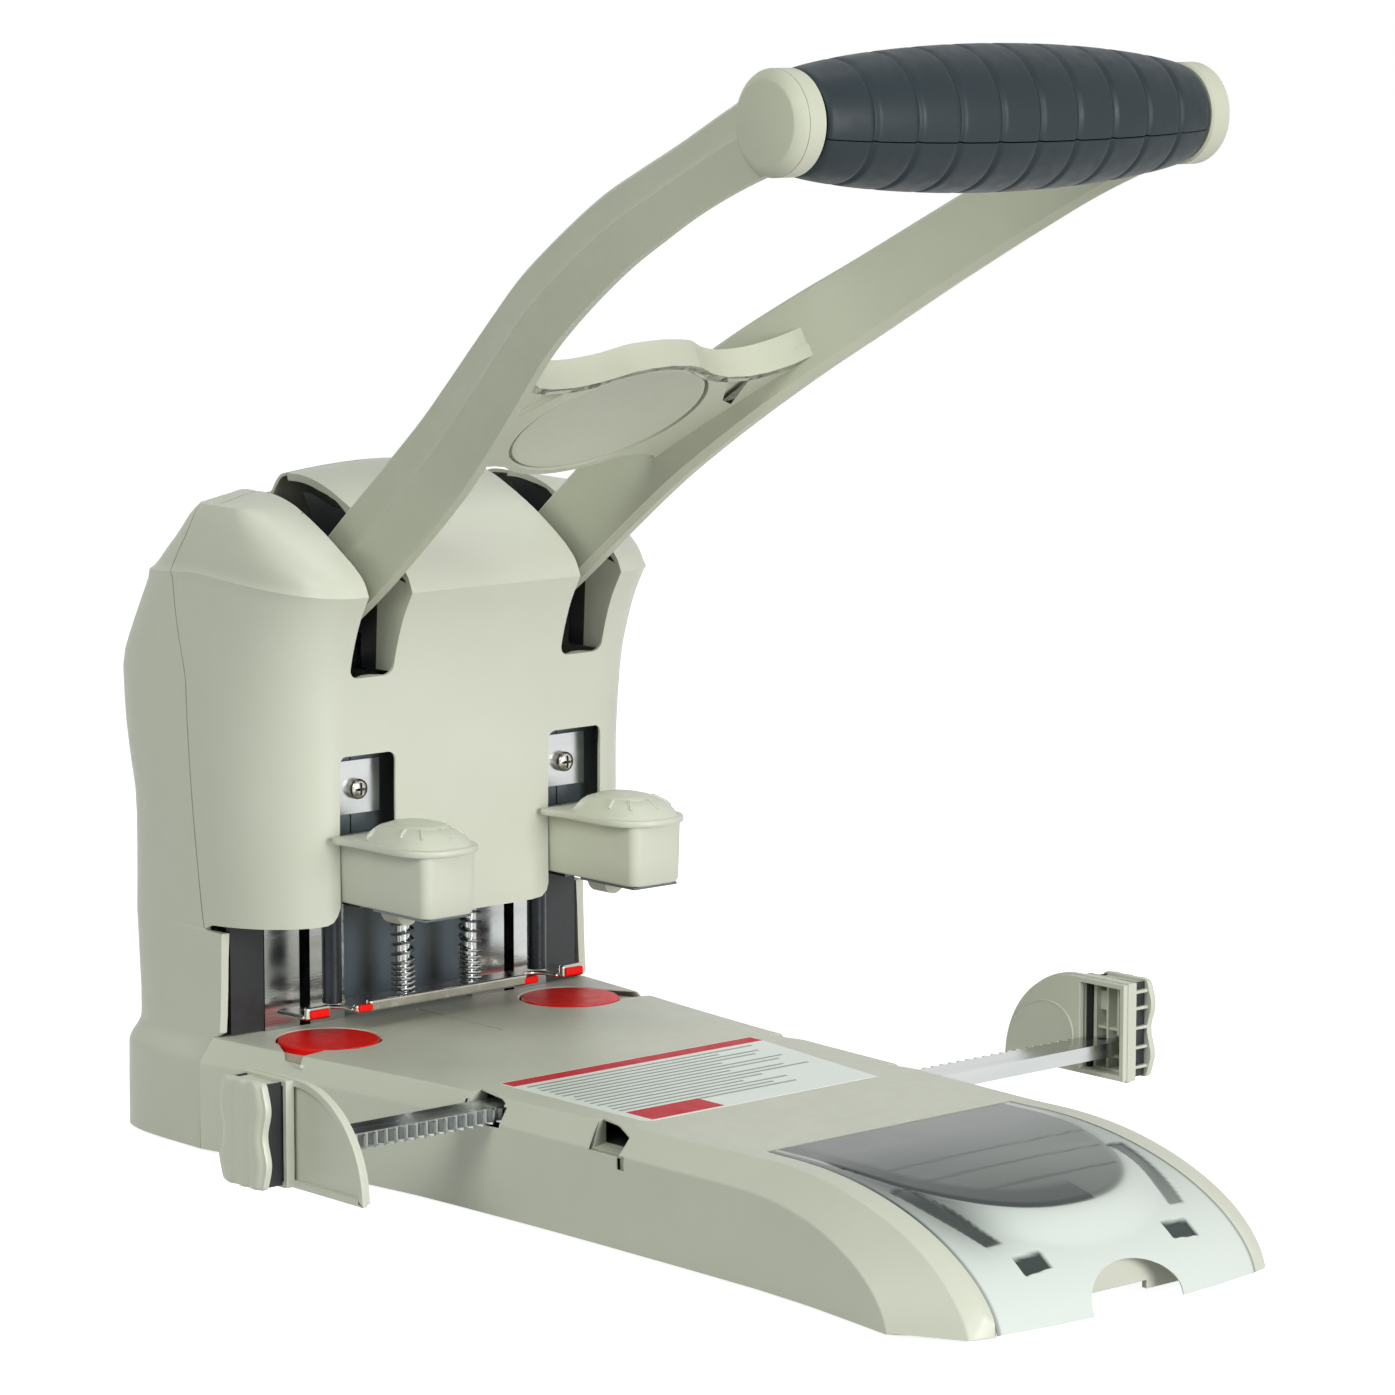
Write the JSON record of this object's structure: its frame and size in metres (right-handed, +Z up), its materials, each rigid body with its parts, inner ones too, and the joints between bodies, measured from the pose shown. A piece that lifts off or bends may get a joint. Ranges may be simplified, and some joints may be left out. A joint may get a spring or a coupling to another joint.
{
  "type": "manual two-hole paper punch",
  "caption": "Heavy-duty two-hole paper punch with a long two-armed hand lever, pull-out punch units, geared side guides and a front tray under a smoky lid.",
  "frame": {"origin": "on the desk, on the left-right centre plane, under the front part of the work surface just in front of the cutting discs (centre of the load pad's front part)", "axes": "+X to the right as the user faces the machine, +Y away from the user towards the tower, +Z up"},
  "size_m": [0.29, 0.3735, 0.3318],
  "materials": {
    "beige_moulding": "fine satin grain, warm grey-beige",
    "beige_casting": "satin paint over a light-alloy casting, warm grey-beige",
    "dark_plate": "blue-grey steel plate, dull",
    "bright_steel": "brushed or ground bright steel",
    "black_rubber": "matt black rubber",
    "slate_panel": "dark grey satin sheet",
    "black_panel": "black satin sheet",
    "red_plastic": "glossy red plastic",
    "slate_grip": "soft-touch slate black with ring grooves",
    "bronze_bush": "sintered bronze bush",
    "black_steel": "blackened tool steel",
    "grey_tray": "grey tray insert",
    "smoky_lid": "smoky see-through plastic"
  },
  "bodies": {
    "base": {"base_housing": "beige_moulding", "base_plate": "dark_plate", "base_screws": "bright_steel", "rubber_feet": "black_rubber", "rear_shell": "beige_moulding", "front_cover": "beige_moulding", "frame_left": "bright_steel", "frame_right": "bright_steel", "frame_tie": "dark_plate", "centre_panel": "slate_panel", "throat_panels": "black_panel", "die_bed": "dark_plate", "disc_pivots": "bright_steel", "lever_shaft": "bright_steel", "shaft_clips": "dark_plate", "pinion_pin": "dark_plate", "rack_bridge": "dark_plate", "tray": "grey_tray"},
    "turning_disc_left": {"disc_left": "red_plastic"},
    "turning_disc_right": {"disc_right": "red_plastic"},
    "lever": {"lever_frame": "beige_casting", "medallion": "beige_moulding", "handle_tube": "bright_steel", "grip_upper": "slate_grip", "grip_lower": "slate_grip", "end_cap_left": "beige_moulding", "end_cap_right": "beige_moulding", "shaft_bushes": "bronze_bush", "drive_bar": "bright_steel"},
    "head": {"crosshead": "dark_plate", "crosshead_keys": "bright_steel", "holder_left": "bright_steel", "holder_right": "bright_steel", "clamp_screws": "bright_steel", "spring_left": "bright_steel", "spring_right": "bright_steel"},
    "punch_left": {"knob_body_left": "beige_moulding", "knob_cap_left": "beige_moulding", "punch_pin_left": "black_steel"},
    "punch_right": {"knob_body_right": "beige_moulding", "knob_cap_right": "beige_moulding", "punch_pin_right": "black_steel"},
    "stripper": {"stripper_plate": "bright_steel", "stripper_tips": "red_plastic", "guide_rods": "bright_steel"},
    "paper_guide_left": {"guide_left": "beige_moulding", "guide_grip_left": "beige_moulding", "rack_left": "bright_steel"},
    "paper_guide_right": {"guide_right": "beige_moulding", "guide_grip_right": "beige_moulding", "rack_right": "bright_steel"},
    "gear": {"pinion": "bright_steel"},
    "lid": {"tray_lid": "smoky_lid", "lid_pins": "bright_steel"}
  },
  "joints": [
    {"name": "lever_pull", "type": "hinge", "parent": "base", "child": "lever", "pos_m": [0, 0.05, 0.15], "axis": [1, 0, 0], "range_deg": [-32, 26]},
    {"name": "head_slide", "type": "slide", "parent": "base", "child": "head", "axis": [0, 0, -1], "range_m": [-0.0108, 0.0088]},
    {"name": "stripper_slide", "type": "slide", "parent": "head", "child": "stripper", "axis": [0, 0, 1], "range_m": [-0.0062, 0.0051], "deforming": ["spring_left", "spring_right"]},
    {"name": "punch_left_pull", "type": "slide", "parent": "head", "child": "punch_left", "axis": [0, -1, 0], "range_m": [0, 0.04]},
    {"name": "punch_right_pull", "type": "slide", "parent": "head", "child": "punch_right", "axis": [0, -1, 0], "range_m": [0, 0.04]},
    {"name": "disc_left_turn", "type": "hinge", "parent": "base", "child": "turning_disc_left", "pos_m": [-0.0472, 0.0207, 0.031], "axis": [0, 0, 1], "continuous": true},
    {"name": "disc_right_turn", "type": "hinge", "parent": "base", "child": "turning_disc_right", "pos_m": [0.0472, 0.0207, 0.031], "axis": [0, 0, 1], "continuous": true},
    {"name": "guide_left_slide", "type": "slide", "parent": "base", "child": "paper_guide_left", "axis": [1, 0, 0], "range_m": [-0.018, 0.05]},
    {"name": "guide_right_slide", "type": "slide", "parent": "base", "child": "paper_guide_right", "axis": [-1, 0, 0], "range_m": [-0.0181, 0.0501]},
    {"name": "gear_turn", "type": "hinge", "parent": "base", "child": "gear", "pos_m": [0, -0.09725, 0.0296], "axis": [0, 0, -1], "range_deg": [-51.1, 141.8]},
    {"name": "lid_lift", "type": "hinge", "parent": "base", "child": "lid", "pos_m": [0, -0.1753, 0.0326], "axis": [-1, 0, 0], "range_deg": [0, 105]}
  ],
  "couplings": [
    {"joint": "head_slide", "follows": "lever_pull", "m_per_rad": 0.019131},
    {"joint": "stripper_slide", "follows": "lever_pull", "m_per_rad": 0.0108},
    {"joint": "guide_right_slide", "follows": "guide_left_slide", "ratio": 1},
    {"joint": "gear_turn", "follows": "guide_left_slide", "rad_per_m": 49.387}
  ]
}
